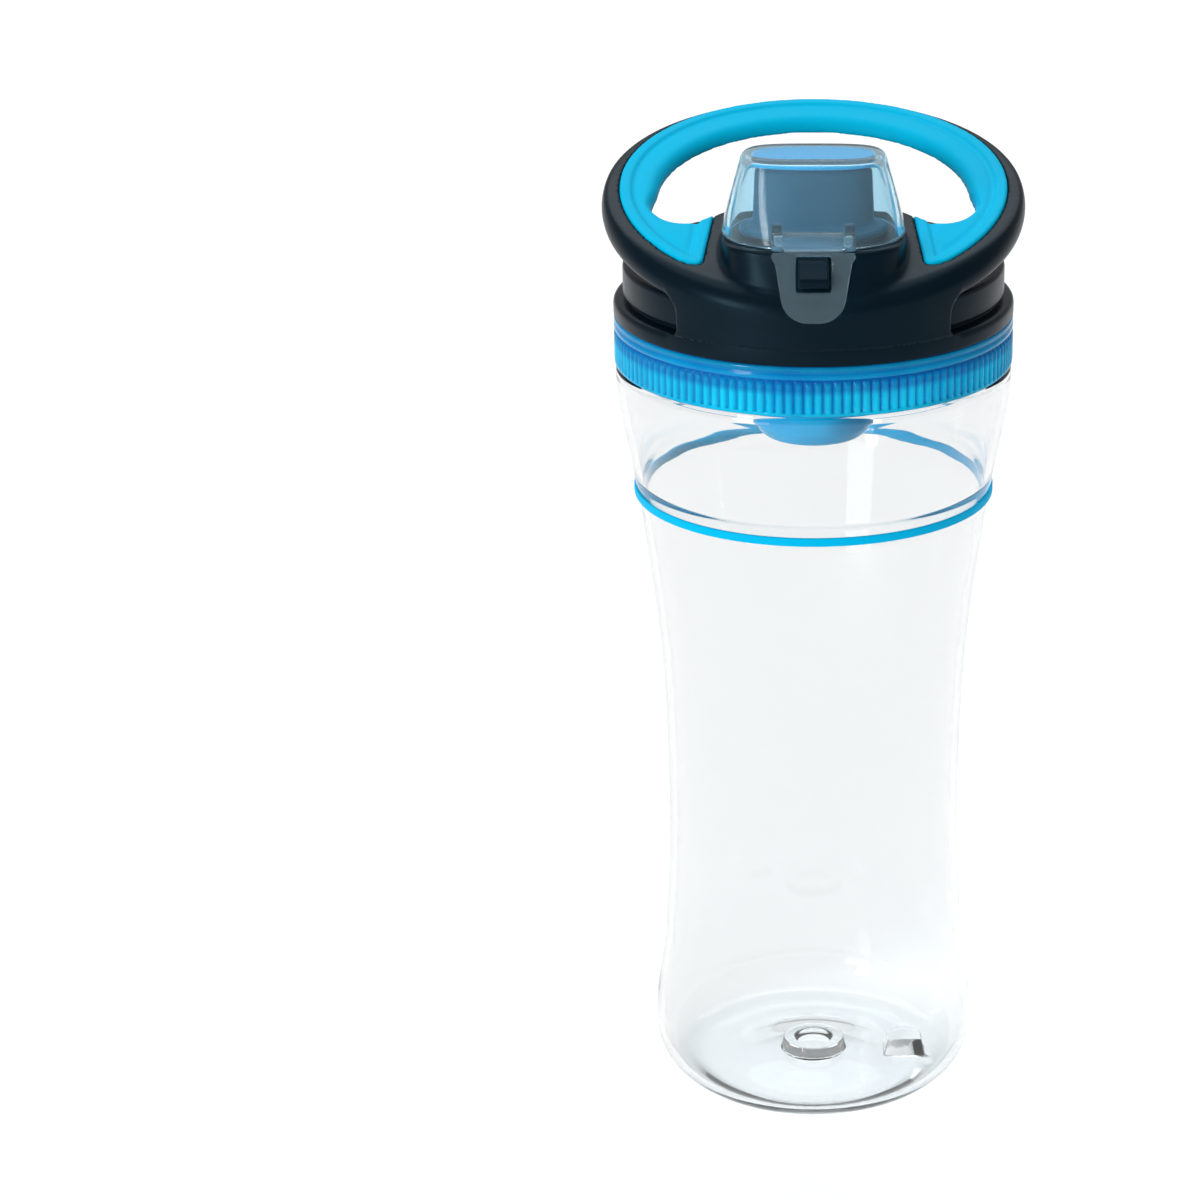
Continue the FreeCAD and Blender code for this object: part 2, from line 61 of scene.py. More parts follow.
def joint(name):
    """Position of a joint, in millimetres."""
    found = [j for j in frame["joints"] if j["name"] == name][0]
    return np.array(found["pos_m"]) / MM


CORE_LOW, CORE_HIGH = corners("lid_core")
LIP_LOW, LIP_HIGH = corners("mouthpiece")
BAND_LOW, BAND_HIGH = corners("accent_band")
CATCH_LOW, CATCH_HIGH = corners("latch_catch")
CUP_LOW_Z = corners("screw_collar")[0][2]
HINGE = joint("cover_hinge")
LATCH = joint("latch_hinge")

LID_Z = CORE_LOW[2]
DECK_Z = CORE_HIGH[2]
SPOUT_Y = (LIP_LOW[1] + LIP_HIGH[1]) / 2


# ---------------------------------------------------------------- meshes

def new_object(name, points, faces):
    """Smooth shaded mesh object from points in millimetres."""
    mesh = bpy.data.meshes.new(name)
    mesh.from_pydata((np.asarray(points) * MM).tolist(), [], [tuple(f) for f in faces])
    mesh.validate()
    mesh.update()
    mesh.polygons.foreach_set("use_smooth", [True] * len(mesh.polygons))
    obj = bpy.data.objects.new(name, mesh)
    bpy.context.scene.collection.objects.link(obj)
    return obj


def lathe(name, profile, steps=256, y_mid=0.0):
    """Closed surface turned about Z.

    profile(angle) gives (radius, height) rows, either from axis to axis or as a loop clear of the axis.
    """
    angles = np.arange(steps) * 2 * math.pi / steps
    rings = np.array([profile(a) for a in angles])
    count = rings.shape[1]
    clear_of_axis = bool(rings[0, 0, 0] > 1e-6)
    x = rings[:, :, 0] * np.cos(angles)[:, None]
    y = rings[:, :, 0] * np.sin(angles)[:, None] + y_mid
    points = np.stack([x, y, rings[:, :, 1]], axis=2)
    if clear_of_axis:
        index = np.arange(steps * count).reshape(steps, count)
        after = np.roll(index, -1, axis=0)
        along = np.roll(index, -1, axis=1)
        both = np.roll(after, -1, axis=1)
        faces = np.stack([index, after, both, along], axis=2).reshape(-1, 4)
        return new_object(name, points.reshape(-1, 3), faces.tolist())
    inner = points[:, 1:-1]
    tips = np.array([points[0, 0], points[0, -1]])
    rows = count - 2
    index = np.arange(steps * rows).reshape(steps, rows)
    after = np.roll(index, -1, axis=0)
    faces = np.stack([index[:, :-1], after[:, :-1], after[:, 1:], index[:, 1:]], axis=2)
    faces = faces.reshape(-1, 4).tolist()
    first, last = steps * rows, steps * rows + 1
    faces += [(first, after[i, 0], index[i, 0]) for i in range(steps)]
    faces += [(last, index[i, -1], after[i, -1]) for i in range(steps)]
    return new_object(name, np.concatenate([inner.reshape(-1, 3), tips]), faces)


def smooth_path(points, per_span=8):
    """Catmull-Rom curve through (radius, height) points."""
    p = np.array([points[0]] + list(points) + [points[-1]], float)
    out = []
    for i in range(1, len(p) - 2):
        for t in np.arange(per_span) / per_span:
            out.append(
                0.5 * (2 * p[i] + (p[i + 1] - p[i - 1]) * t
                       + (2 * p[i - 1] - 5 * p[i] + 4 * p[i + 1] - p[i + 2]) * t ** 2
                       + (3 * p[i] - p[i - 1] - 3 * p[i + 1] + p[i + 2]) * t ** 3)
            )
    return out + [p[-2]]


def rounded(points, radii, steps=5):
    """Corner points with each corner replaced by an arc-like curve of about the given radius."""
    out = []
    for i, (p, r) in enumerate(zip(points, radii)):
        p = np.array(p, float)
        if r == 0 or i in (0, len(points) - 1):
            out.append(p)
            continue
        before, after = np.array(points[i - 1], float) - p, np.array(points[i + 1], float) - p
        r_in = min(r, 0.49 * np.linalg.norm(before), 0.49 * np.linalg.norm(after))
        start = p + before / np.linalg.norm(before) * r_in
        end = p + after / np.linalg.norm(after) * r_in
        for t in np.linspace(0, 1, steps):
            out.append((1 - t) ** 2 * start + 2 * t * (1 - t) * p + t ** 2 * end)
    return out


# ---------------------------------------------------------------- rounded solids from distance fields

def fillet_max(a, b, r):
    """Common part of two solids, with its edge rounded to radius r."""
    return np.minimum(np.maximum(a, b), -r) + np.hypot(np.maximum(a + r, 0), np.maximum(b + r, 0))


def fillet_min(a, b, r):
    """Union of two solids, with its inner corner filled to radius r."""
    return -fillet_max(-a, -b, r)


def oval(x, y, x_half, y_half, power=2.0):
    """Distance to a superellipse round the origin, negative inside."""
    u, v = np.abs(x) / x_half + 1e-9, np.abs(y) / y_half + 1e-9
    total = u ** power + v ** power
    slope = total ** (1 / power - 1) * np.hypot(u ** (power - 1) / x_half, v ** (power - 1) / y_half)
    return (total ** (1 / power) - 1) / slope


def slab(value, low, high):
    """Distance to the layer between two values, negative inside."""
    return np.maximum(low - value, value - high)


def step_up(value, low, high):
    """Smooth step from 0 at low to 1 at high."""
    t = np.clip((value - low) / (high - low), 0, 1)
    return t * t * (3 - 2 * t)


CUBE = np.array([[i, j, k] for i in (0, 1) for j in (0, 1) for k in (0, 1)])


def gradient(field, p, e=0.02):
    """Slope of a field at points, from differences over 2 e."""
    steps = np.eye(3) * e
    return np.stack([(field(*(p + s).T) - field(*(p - s).T)) / (2 * e) for s in steps], axis=1)


def solid(name, field, low, high, step, relax=3):
    """Mesh of where field(x, y, z) is negative.

    Surface nets on a grid of the given step, then the points are evened out and drawn onto the surface.
    """
    axes = [np.arange(a - step, b + 2 * step, step) for a, b in zip(low, high)]
    d = field(*np.meshgrid(*axes, indexing="ij"))
    inside = d < 0
    size = np.array(d.shape) - 1
    count = sum(inside[tuple(slice(c[i], c[i] + size[i]) for i in range(3))].astype(np.int8) for c in CUBE)
    cells = np.argwhere((count > 0) & (count < 8))
    number = -np.ones(tuple(size), int)
    number[tuple(cells.T)] = np.arange(len(cells))
    value = np.stack([d[tuple((cells + c).T)] for c in CUBE], axis=1)
    total, hits = np.zeros((len(cells), 3)), np.zeros(len(cells))
    for a in range(8):
        for b in range(a + 1, 8):
            if np.abs(CUBE[a] - CUBE[b]).sum() == 1:
                cross = (value[:, a] < 0) != (value[:, b] < 0)
                t = np.where(cross, value[:, a] / np.where(cross, value[:, a] - value[:, b], 1), 0)
                edge = CUBE[a] + t[:, None] * (CUBE[b] - CUBE[a])
                total += np.where(cross, 1, 0)[:, None] * edge
                hits += cross
    points = np.array([a[0] for a in axes]) + (cells + total / hits[:, None]) * step
    quads = []
    for axis in range(3):
        u, v = (axis + 1) % 3, (axis + 2) % 3
        near, far = [slice(1, -1)] * 3, [slice(1, -1)] * 3
        near[axis], far[axis] = slice(0, -1), slice(1, None)
        first, second = inside[tuple(near)], inside[tuple(far)]
        base = np.argwhere(first != second)
        flip = second[tuple(base.T)]
        step_u, step_v = np.eye(3, dtype=int)[u], np.eye(3, dtype=int)[v]
        ring = [base, base + step_u, base + step_u + step_v, base + step_v]
        quad = np.stack([number[tuple(c.T)] for c in ring], axis=1)
        quad[flip] = quad[flip][:, ::-1]
        quads.append(quad)
    quads = np.concatenate(quads)
    edges = np.concatenate([quads[:, [i, (i + 1) % 4]] for i in range(4)])
    degree = np.bincount(edges[:, 0], minlength=len(points))[:, None]
    for turn in range(relax + 1):
        slope = gradient(field, points)
        points = points - slope * (field(*points.T) / np.maximum((slope ** 2).sum(1), 0.1))[:, None]
        if turn < relax:
            mean = np.stack(
                [np.bincount(edges[:, 0], points[edges[:, 1], i], len(points)) for i in range(3)], axis=1
            ) / degree
            points = 0.5 * points + 0.5 * mean
    return new_object(name, points, quads.tolist())


# ---------------------------------------------------------------- materials

def material(name, **settings):
    """Material with its shader's sockets set; underscores in a setting's name stand for spaces."""
    mat = bpy.data.materials.new(name)
    mat.use_nodes = True
    nodes = mat.node_tree.nodes
    shader = nodes["Principled BSDF"]
    for socket, value in settings.items():
        shader.inputs[socket.replace("_", " ")].default_value = value
    return mat, nodes, mat.node_tree.links, shader


def object_coords(nodes):
    return nodes.new("ShaderNodeTexCoord").outputs["Object"]


def noise(nodes, links, scale, detail):
    """Noise in object space; scale is features per metre."""
    tex = nodes.new("ShaderNodeTexNoise")
    tex.inputs["Scale"].default_value = scale
    tex.inputs["Detail"].default_value = detail
    links.new(object_coords(nodes), tex.inputs["Vector"])
    return tex.outputs["Fac"]


def ranged(nodes, links, source, span, values):
    """Maps a value from one range to another, held at its ends."""
    node = nodes.new("ShaderNodeMapRange")
    node.inputs["From Min"].default_value, node.inputs["From Max"].default_value = span
    node.inputs["To Min"].default_value, node.inputs["To Max"].default_value = values
    links.new(source, node.inputs["Value"])
    return node.outputs["Result"]


def roughness(nodes, links, source, shader, low, high):
    """Roughness between two values, following the middle part of a noise."""
    links.new(ranged(nodes, links, source, (0.3, 0.7), (low, high)), shader.inputs["Roughness"])


def multiplied(nodes, links, first, second):
    node = nodes.new("ShaderNodeMath")
    node.operation = "MULTIPLY"
    links.new(first, node.inputs[0])
    links.new(second, node.inputs[1])
    return node.outputs["Value"]


def bump(nodes, links, source, shader, height, strength):
    node = nodes.new("ShaderNodeBump")
    node.inputs["Strength"].default_value = strength
    node.inputs["Distance"].default_value = height
    links.new(source, node.inputs["Height"])
    links.new(node.outputs["Normal"], shader.inputs["Normal"])


def two_tone(nodes, links, source, shader, dark, light):
    """Base colour between two colours, following a 0 to 1 value."""
    mix = nodes.new("ShaderNodeMix")
    mix.data_type = "RGBA"
    mix.inputs["A"].default_value = (*dark, 1)
    mix.inputs["B"].default_value = (*light, 1)
    links.new(source, mix.inputs["Factor"])
    links.new(mix.outputs["Result"], shader.inputs["Base Color"])


def lets_light_through(mat, tint):
    """Shadow rays pass the surface with a tint, as light passes thin clear plastic."""
    tree = mat.node_tree
    nodes, links = tree.nodes, tree.links
    path = nodes.new("ShaderNodeLightPath")
    clear = nodes.new("ShaderNodeBsdfTransparent")
    clear.inputs["Color"].default_value = (*tint, 1)
    mix = nodes.new("ShaderNodeMixShader")
    links.new(path.outputs["Is Shadow Ray"], mix.inputs["Fac"])
    links.new(nodes["Principled BSDF"].outputs["BSDF"], mix.inputs[1])
    links.new(clear.outputs["BSDF"], mix.inputs[2])
    links.new(mix.outputs["Shader"], nodes["Material Output"].inputs["Surface"])


def clear_plastic():
    mat, nodes, links, shader = material(
        "clear_copolyester", Base_Color=(0.893, 0.903, 0.905, 1), Transmission_Weight=1.0, IOR=1.42,
        Specular_IOR_Level=0.35,
    )
    roughness(nodes, links, noise(nodes, links, 60.0, 2.0), shader, 0.005, 0.03)
    bump(nodes, links, noise(nodes, links, 45.0, 1.0), shader, 0.00004, 0.25)
    lets_light_through(mat, (0.93, 0.95, 0.96))
    return mat


def blue_translucent(name, dark, light, tone=None):
    """Tinted clear plastic; tone(nodes, links) gives the value its colour follows, or a noise does."""
    mat, nodes, links, shader = material(name, Transmission_Weight=0.4, IOR=1.3, Specular_IOR_Level=0.12)
    cloud = noise(nodes, links, 120.0, 3.0)
    two_tone(nodes, links, tone(nodes, links) if tone else cloud, shader, dark, light)
    roughness(nodes, links, cloud, shader, 0.06, 0.14)
    lets_light_through(mat, (0.05, 0.55, 0.9))
    return mat


RIB_CREST_R, RIB_VALLEY_R = 41.9, 41.15
# Heights between which the painted shade on the plain band above the ribs fades in, going up
RIB_BAND_SHADE_Z = (170.4, 171.6)


def rib_painted_light_and_shade(nodes, links):
    """Painted highlight on the ribs' crests and painted shade between them, painted shade on the plain band
    above the ribs, and colour uneven all round.
    """
    parts = nodes.new("ShaderNodeSeparateXYZ")
    links.new(object_coords(nodes), parts.inputs["Vector"])
    flat = nodes.new("ShaderNodeCombineXYZ")
    links.new(parts.outputs["X"], flat.inputs["X"])
    links.new(parts.outputs["Y"], flat.inputs["Y"])
    length = nodes.new("ShaderNodeVectorMath")
    length.operation = "LENGTH"
    links.new(flat.outputs["Vector"], length.inputs[0])
    crest_span = (RIB_VALLEY_R * MM, RIB_CREST_R * MM)
    # Painted highlight on the rib crests and painted shade in the valleys between the ribs
    crest = ranged(nodes, links, length.outputs["Value"], crest_span, (0.3, 1.0))
    band_shade_span = (RIB_BAND_SHADE_Z[1] * MM, RIB_BAND_SHADE_Z[0] * MM)
    # Painted shade on the plain band above the ribs
    band_shade = ranged(nodes, links, parts.outputs["Z"], band_shade_span, (0.45, 1.0))
    patches = ranged(nodes, links, noise(nodes, links, 70.0, 2.0), (0.38, 0.62), (0.72, 1.0))
    return multiplied(nodes, links, multiplied(nodes, links, crest, band_shade), patches)


def satin_black():
    mat, nodes, links, shader = material(
        "satin_black", Specular_IOR_Level=0.12, Specular_Tint=(0.45, 0.8, 1.0, 1)
    )
    grain = noise(nodes, links, 3800.0, 3.0)
    wear = noise(nodes, links, 90.0, 4.0)
    two_tone(nodes, links, wear, shader, (0.0005, 0.0040, 0.0085), (0.0015, 0.0065, 0.012))
    roughness(nodes, links, wear, shader, 0.28, 0.36)
    bump(nodes, links, grain, shader, 0.00003, 0.5)
    return mat


def slate_plastic():
    mat, nodes, links, shader = material("lip_slate", Specular_IOR_Level=0.1)
    cloud = noise(nodes, links, 140.0, 3.0)
    two_tone(nodes, links, cloud, shader, (0.008, 0.075, 0.125), (0.014, 0.095, 0.150))
    roughness(nodes, links, cloud, shader, 0.36, 0.46)
    return mat


def soft_rubber(name, dark, light):
    mat, nodes, links, shader = material(name, Specular_IOR_Level=0.03)
    grain = noise(nodes, links, 2600.0, 2.0)
    cloud = noise(nodes, links, 70.0, 3.0)
    two_tone(nodes, links, cloud, shader, dark, light)
    roughness(nodes, links, cloud, shader, 0.42, 0.54)
    bump(nodes, links, grain, shader, 0.00003, 0.4)
    return mat


def frosted_plastic():
    mat, nodes, links, shader = material("frosted_cover", Transmission_Weight=0.95, IOR=1.22)
    haze = noise(nodes, links, 160.0, 4.0)
    two_tone(nodes, links, haze, shader, (0.60, 0.81, 0.90), (0.66, 0.85, 0.93))
    roughness(nodes, links, haze, shader, 0.03, 0.07)
    bump(nodes, links, noise(nodes, links, 1500.0, 2.0), shader, 0.00002, 0.3)
    lets_light_through(mat, (0.85, 0.9, 0.95))
    return mat


def silicone():
    mat, nodes, links, shader = material("silicone", Subsurface_Weight=0.2, Subsurface_Scale=0.002)
    cloud = noise(nodes, links, 300.0, 3.0)
    two_tone(nodes, links, cloud, shader, (0.72, 0.76, 0.79), (0.82, 0.85, 0.87))
    roughness(nodes, links, cloud, shader, 0.4, 0.55)
    return mat


def steel():
    mat, nodes, links, shader = material("pin_steel", Metallic=1.0)
    scratch = noise(nodes, links, 2400.0, 5.0)
    two_tone(nodes, links, scratch, shader, (0.50, 0.51, 0.53), (0.62, 0.63, 0.65))
    roughness(nodes, links, scratch, shader, 0.2, 0.34)
    return mat


CLEAR = clear_plastic()
BLUE = blue_translucent("collar_blue", (0.0, 0.44, 0.76), (0.0, 0.52, 0.84))
# The dark colour is painted shade and the light colour painted highlight, laid out by the rib and band
# pattern
RIBBED_BLUE = blue_translucent("collar_ribbed_blue", (0.0, 0.09, 0.45), (0.0, 0.72, 0.98), rib_painted_light_and_shade)
BLACK = satin_black()
SLATE = slate_plastic()
CYAN = soft_rubber("grip_cyan", (0.0, 0.42, 0.68), (0.0, 0.45, 0.71))
BAND_BLUE = soft_rubber("band_blue", (0.0, 0.43, 0.75), (0.0, 0.46, 0.78))
PAD_BLUE = soft_rubber("pad_blue", (0.0, 0.36, 0.62), (0.0, 0.39, 0.66))
FROST = frosted_plastic()
SILICONE = silicone()
STEEL = steel()


def place(obj, body, mat, replaced=None):
    """Gives a piece its material and its body, and hides the CAD part it replaces."""
    obj.data.materials.clear()
    obj.data.materials.append(mat)
    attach(obj, body)
    if replaced:
        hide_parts(replaced)


# ---------------------------------------------------------------- threads

THREAD_PITCH = 3.2
THREAD_TURNS = 1.4
THREAD_DEPTH = 1.3
THREAD_CREST, THREAD_FLANK = 0.35, 0.35


def thread_lift(z, angle, start_z):
    """How far a thread that starts at start_z stands out at a height and angle, from 0 to 1."""
    ridges = start_z + THREAD_PITCH * (angle / (2 * math.pi) + np.arange(-1, 2))
    along = (ridges - start_z) / THREAD_PITCH
    lift = np.clip((THREAD_CREST + THREAD_FLANK - np.abs(z - ridges)) / THREAD_FLANK, 0, 1)
    return np.max(lift * ((along >= 0) & (along <= THREAD_TURNS)))


# ---------------------------------------------------------------- bottle

WALL = 1.6
NECK_R, NECK_BORE_R = 37.6, 35.6
NECK_TOP = corners("bottle_body")[1][2]
NECK_THREAD_Z = 167.4
SHOULDER_R, SHOULDER_Z = 41.7, 165.6
SHOULDER_START_Z = 163.4
# Outside of the wall from the shoulder to the heel, as (radius, height)
WALL_OUTLINE = [
    (SHOULDER_R, SHOULDER_START_Z), (41.6, 160.9), (41.3, 158.2), (40.85, 155.2), (40.1, 151.5),
    (39.3, 147.3), (38.5, 143.0), (38.05, 140.2), (36.9, 134.0), (35.9, 126.3), (34.75, 117.9),
    (33.7, 109.5), (32.9, 101.0), (32.35, 92.5), (31.9, 80.0), (31.7, 66.5), (31.85, 55.0),
    (32.3, 44.0), (32.95, 33.5), (33.9, 25.5), (34.9, 19.0), (35.2, 14.5),
]
# Inside of the wall where it turns in to the neck
INNER_CORNER = [
    (NECK_BORE_R, 165.8), (35.8, 165.25), (36.6, 165.05), (38.8, 165.0), (39.75, 164.7), (40.08, 164.1),
    (40.1, 163.3),
]
BEAD_DEPTH = 0.45
HEEL_R = 12.6
FOOT_R = 22.6
BASE_LIFT, BASE_THICK = 1.6, 2.0
DOME_WIDTH = 18.0
GATE_R, GATE_DIMPLE_R = 7.3, 4.3
GATE_H, GATE_DIMPLE_H = 2.6, 1.1
KEY_X, KEY_HALF, KEY_H = 20.5, 4.5, 3.3
FLOOR_RADII = np.concatenate([
    np.linspace(0.6, 3.2, 5), np.linspace(3.5, 8.0, 22), np.linspace(8.6, 15.2, 8),
    np.linspace(15.6, 20.0, 18), np.linspace(20.3, 25.3, 18),
])
INNER_LEVELS = np.concatenate([
    np.linspace(162.4, 142.9, 18), np.linspace(142.4, 135.2, 34), np.linspace(134.0, 13.4, 90),
])


def heel(radius, start, end, steps=14):
    """Arc of the heel, from the wall down to the foot."""
    angles = np.linspace(start, end, steps)
    return [(FOOT_R + radius * math.cos(a), HEEL_R - radius * math.sin(a)) for a in angles]


def underside(r):
    """Height of the bottle's underside: a soft dome that runs out to the foot."""
    return BASE_LIFT * step_up(FOOT_R - r, 0, DOME_WIDTH)


def floor_height(r, x, y):
    """Height of the inner floor, with the gate boss in the middle and the D-shaped key beside it."""
    gate = GATE_H * step_up(-r, -GATE_R - 0.1, -GATE_R + 0.75)
    gate = gate - GATE_DIMPLE_H * step_up(-r, -GATE_DIMPLE_R - 0.1, -GATE_DIMPLE_R + 0.9)
    u, v = x - KEY_X, y
    key = np.where(v > 0, np.hypot(u, v) - KEY_HALF, np.maximum(np.abs(u) - KEY_HALF, -KEY_HALF - v))
    return BASE_LIFT + BASE_THICK + gate + KEY_H * step_up(-key, -0.1, 0.8)


def bottle_profile(angle):
    """Section of the bottle at an angle, from the underside's middle round the wall to the floor's middle."""
    outline = smooth_path(WALL_OUTLINE)
    under = [(r, underside(r)) for r in np.linspace(0, FOOT_R, 20)]
    outer_heel = heel(HEEL_R, math.pi / 2 - 0.06, 0.0)
    shoulder = rounded(
        [(SHOULDER_R, SHOULDER_START_Z), (SHOULDER_R, SHOULDER_Z), (NECK_R, SHOULDER_Z)], [0, 1.3, 0]
    )
    neck = [
        (NECK_R + THREAD_DEPTH * thread_lift(z, angle, NECK_THREAD_Z), z)
        for z in np.linspace(SHOULDER_Z + 0.2, NECK_TOP - 0.6, 58)
    ]
    rim = rounded(
        [neck[-1], (NECK_R, NECK_TOP), (NECK_BORE_R, NECK_TOP), (NECK_BORE_R, 167.0)], [0, 0.5, 0.5, 0]
    )
    outline_r, outline_z = np.array(outline[::-1]).T
    radii = np.interp(INNER_LEVELS, outline_z, outline_r) - WALL
    bead = step_up(INNER_LEVELS, 135.6, 138.4) * step_up(-INNER_LEVELS, -141.9, -140.2)
    inner = list(zip(radii - BEAD_DEPTH * bead, INNER_LEVELS))
    inner += heel(HEEL_R - WALL, 0.0, 0.8) + [(28.9, 3.9), (27.5, 3.64), (26.2, 3.6)]
    rows = FLOOR_RADII[::-1]
    floor = list(zip(rows, floor_height(rows, rows * math.cos(angle), rows * math.sin(angle))))
    floor.append((0.0, floor_height(np.array(0.0), 0.0, 0.0)))
    outside = under + outer_heel + outline[::-1][1:] + shoulder[1:] + neck + rim[1:]
    return np.array([(float(r), float(z)) for r, z in outside + smooth_path(INNER_CORNER, 5) + inner + floor])


def build_bottle():
    body = lathe("bottle_body_clear", bottle_profile, 288)
    place(body, "bottle", CLEAR, "bottle_body")


BAND_THICK = 0.95


def build_band():
    low, high = BAND_LOW[2], BAND_HIGH[2]
    outer = BAND_HIGH[0]
    inner = outer - BAND_THICK
    section = rounded(
        [(outer - 0.5, low), (outer, low), (outer, high), (outer - 0.5, high), (inner, high - 0.1),
         (inner, low + 0.1), (outer - 0.5, low)],
        [0, 0.45, 0.45, 0, 0, 0, 0],
    )[:-1]
    band = lathe("accent_band_ring", lambda angle: section)
    place(band, "bottle", BAND_BLUE, "accent_band")


# ---------------------------------------------------------------- collar

RIBS = 132
RIB_STEPS = 8
COLLAR_R = 42.0
COLLAR_BORE_R = 39.4
COLLAR_LOW_Z = 166.1
COLLAR_DECK = 1.7
COLLAR_THREAD_Z = 169.0
CUP_STEPS = 128


def collar_profile(angle):
    """Section of the collar at an angle: ribs outside, the thread inside."""
    low, high = COLLAR_LOW_Z, LID_Z
    crest, valley = RIB_CREST_R, RIB_VALLEY_R
    rim = COLLAR_R - 0.75
    band = [
        (COLLAR_R - 0.2, high - 0.25), (COLLAR_R - 0.1, high - 0.9), (COLLAR_R - 0.35, high - 1.15),
        (COLLAR_R - 0.35, high - 1.7), (COLLAR_R - 0.1, high - 1.95), (COLLAR_R - 0.1, high - 2.7),
        (COLLAR_R - 0.5, high - 2.95), (valley, high - 3.1),
    ]
    rib = abs(math.sin(angle * RIBS / 2)) ** 0.6
    ribs = []
    for z in np.linspace(high - 3.2, low + 0.9, 14):
        dome = math.sqrt(max(0.0, 1 - max(0.0, 1 - (high - 3.2 - z) / 0.9) ** 2))
        ribs.append((valley + (crest - valley) * rib * dome, z))
    foot = [
        (crest - 0.1, low + 0.75), (crest - 0.05, low + 0.35), (crest - 0.4, low), (39.9, low),
        (39.45, low + 0.3),
    ]
    inside = [
        (COLLAR_BORE_R - THREAD_DEPTH * thread_lift(z, angle, COLLAR_THREAD_Z), z)
        for z in np.linspace(low + 0.5, high - COLLAR_DECK - 0.1, 44)
    ]
    deck = [(r, high - COLLAR_DECK) for r in (39.0, 30.0, 0)]
    top = [(r, high - 0.02) for r in (0, 30.0, rim)]
    return np.array((top + band + ribs + foot + inside + deck)[::-1])


def build_collar():
    ring = lathe("screw_collar_ribbed", collar_profile, RIBS * RIB_STEPS)
    place(ring, "lid", RIBBED_BLUE, "screw_collar")
    low, high = CUP_LOW_Z, LID_Z - COLLAR_DECK - 0.02
    section = rounded(
        [(6.0, low), (10.5, low), (12.3, low + 2.8), (12.3, high), (10.85, high), (10.85, low + 2.0),
         (6.0, low + 2.0), (6.0, low)],
        [0, 1.2, 0.8, 0, 0, 0.8, 0.3, 0],
    )[:-1]
    cup = lathe("spout_cup", lambda angle: section, CUP_STEPS, SPOUT_Y)
    place(cup, "lid", BLUE)


# ---------------------------------------------------------------- lid

LEDGE_Z = 180.2
CORE_R = 39.9
APRON_SPREAD = 0.75


def core_profile(angle):
    """Section of the drum; its ledge is square where the apron stands on it and rounded elsewhere."""
    from_front = abs((angle + math.pi / 2 + math.pi) % (2 * math.pi) - math.pi)
    ledge_edge = 0.15 + 1.85 * float(step_up(from_front, APRON_SPREAD, APRON_SPREAD + 0.06))
    return np.array(rounded(
        [(0, DECK_Z - 2.0), (37.5, DECK_Z - 2.0), (37.5, LID_Z), (41.9, LID_Z), (41.95, LEDGE_Z),
         (CORE_R - 1, LEDGE_Z), (CORE_R - 1, LEDGE_Z + 1.0), (CORE_R, LEDGE_Z + 1.2), (CORE_R, DECK_Z),
         (36.2, DECK_Z), (35.8, DECK_Z - 0.5), (34.8, DECK_Z - 0.5), (34.4, DECK_Z), (0, DECK_Z)],
        [0, 1.0, 0.3, 0.4, ledge_edge, 0.2, 0.2, 0.3, 1.0, 0.3, 0.2, 0.2, 0.3, 0],
    ))


def build_core():
    core = lathe("lid_core_drum", core_profile)
    place(core, "lid", BLACK, "lid_core")


LOOP_THICK = 6.5
RIM_DROP = 3.15
APRON_R = 41.97
SKIRT_BORE_R = 39.97
SKIRT_ANGLE = math.radians(41.5)
WINDOW_ROUND = 1.3
# Front of skirt and turret as radii at heights
FRONT_Z = [180.0, 183.0, 185.0, 187.0, 188.6, 190.0, 191.0, 192.0, 193.4, 195.0, 197.0, 199.4]
FRONT_R = [41.97, 41.85, 41.68, 41.4, 41.08, 40.7, 40.35, 39.98, 39.5, 39.1, 38.75, 38.4]
TURRET_Z = 199.3
SPIGOT_HOLE_R = 10.2
LUG_R = 2.5
PIN_BORE_R = 1.22
KNUCKLE_ROOM_R, KNUCKLE_ROOM_X, KNUCKLE_ROOM_Y = 2.7, 9.2, 7.5
GRIP_THICK = 1.2
GRIP_GAP = 0.05


def from_axis(centre, y, z):
    """Distance from an axis along X through a centre."""
    return np.hypot(y - centre[1], z - centre[2])


def loop_top(y):
    """Height of the loop's arched top face."""
    return 202.4 + 0.25 * y - y * y / 1155


def loop_plan(x, y):
    """Outline of the loop from above, negative inside."""
    return oval(x, y - 1.0, 44.0, 43.0)


def hole_plan(x, y):
    """Finger hole from above, negative inside."""
    main = fillet_max(np.hypot(x, y) - 32.5, -7.0 - y, 1.5)
    lobes = np.hypot(np.abs(x) - 26.3, y + 5.9) - 6.3
    return fillet_min(main, lobes, 4.0)


def grip_plan(x, y):
    """Outline of the soft grip from above, negative inside."""
    outline = fillet_max(np.hypot(x, y - 2.4) - 40.3, -29.0 - y, 1.8)
    turret_side = np.maximum(np.abs(x) - 20.3 + 0.1 * (y + 8.0), y + 6.6)
    return fillet_max(outline, -turret_side, 1.6)


def loop_upper(x, y, z):
    """Top face and inner wall of the loop, without its rim and underside."""
    top = (z - loop_top(y)) / 1.03
    return fillet_max(top, -hole_plan(x, y), 2.3)


def loop_underside(x, y):
    """Height of the loop's underside, higher where the loop thins towards its hole at the back."""
    thin = step_up(-loop_plan(x, y), 2.0, 10.5) * step_up(y, -16.0, -2.0)
    return loop_top(y) - LOOP_THICK + 3.2 * thin


def loop_rim(x, y, z):
    """Outer face of the loop, widest half way up and leaning in above that towards the front."""
    drop = z - loop_top(y) + RIM_DROP
    bulge = np.where(drop > 0, 0.1 + 0.12 * step_up(-y, 16.0, 36.0), 0.1)
    return loop_plan(x, y) + bulge * drop ** 2


